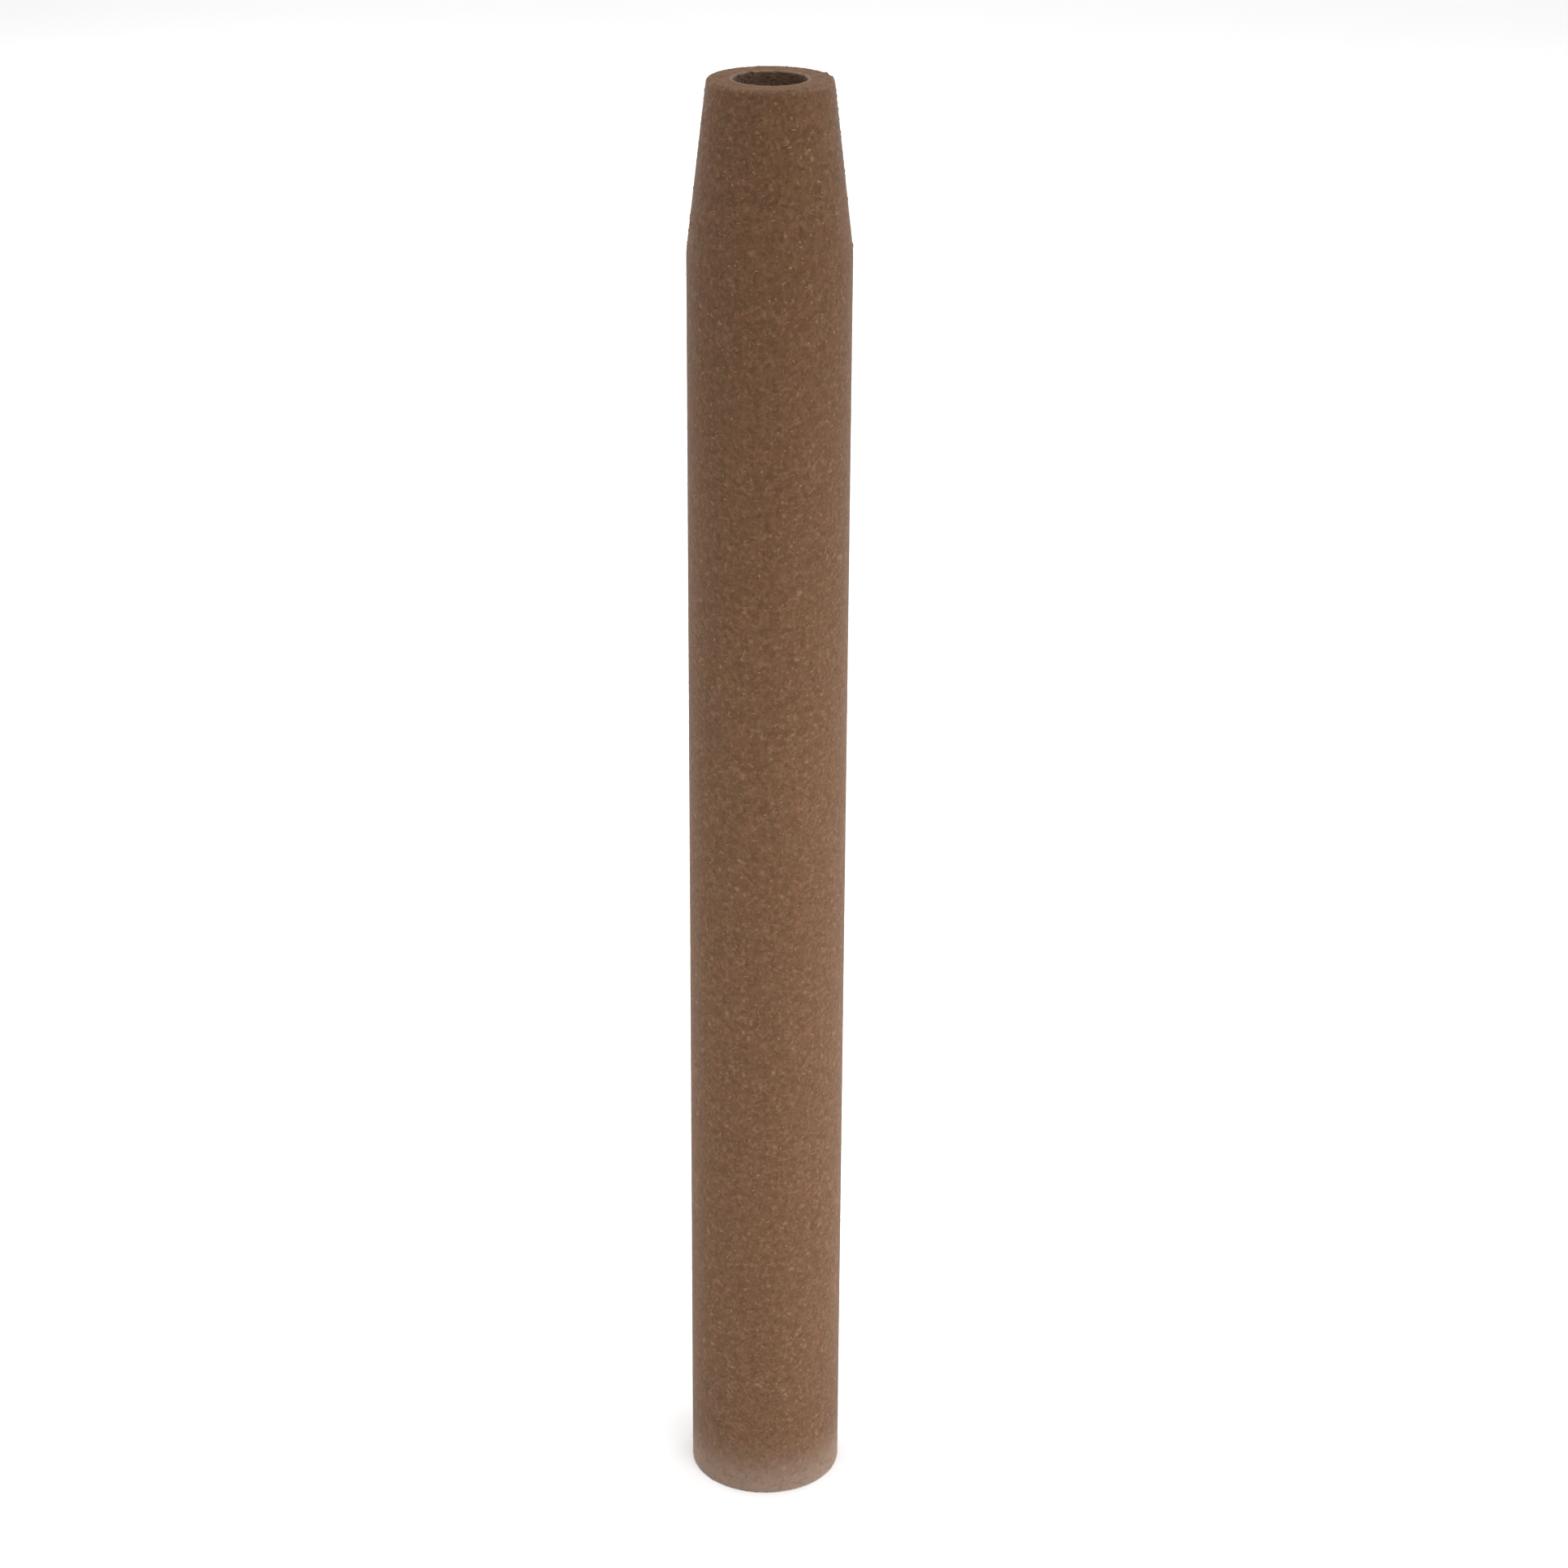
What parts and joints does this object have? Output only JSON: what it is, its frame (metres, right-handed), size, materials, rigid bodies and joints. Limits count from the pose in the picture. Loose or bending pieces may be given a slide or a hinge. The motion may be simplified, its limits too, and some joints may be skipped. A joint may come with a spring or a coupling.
{
  "type": "blending stump",
  "caption": "Straight hollow stick of wound brown pulp paper with a blunt sanded cone at one end, for rubbing and softening charcoal, pastel and pencil.",
  "frame": {"origin": "centre of the flat foot, on the bore's axis, on the surface the stick stands on", "axes": "+Z along the stick's axis from the foot to the nose; +Y towards the outer wrap's pasted joint, so -Y is the unbroken front"},
  "size_m": [0.016, 0.016, 0.152],
  "materials": {
    "pulp_paper": "matte"
  },
  "bodies": {
    "root": {"core_wrap": "pulp_paper", "wrap_02": "pulp_paper", "wrap_03": "pulp_paper", "wrap_04": "pulp_paper", "wrap_05": "pulp_paper", "wrap_06": "pulp_paper", "wrap_07": "pulp_paper", "wrap_08": "pulp_paper", "wrap_09": "pulp_paper", "wrap_10": "pulp_paper", "wrap_11": "pulp_paper", "outer_wrap": "pulp_paper"}
  },
  "joints": []
}
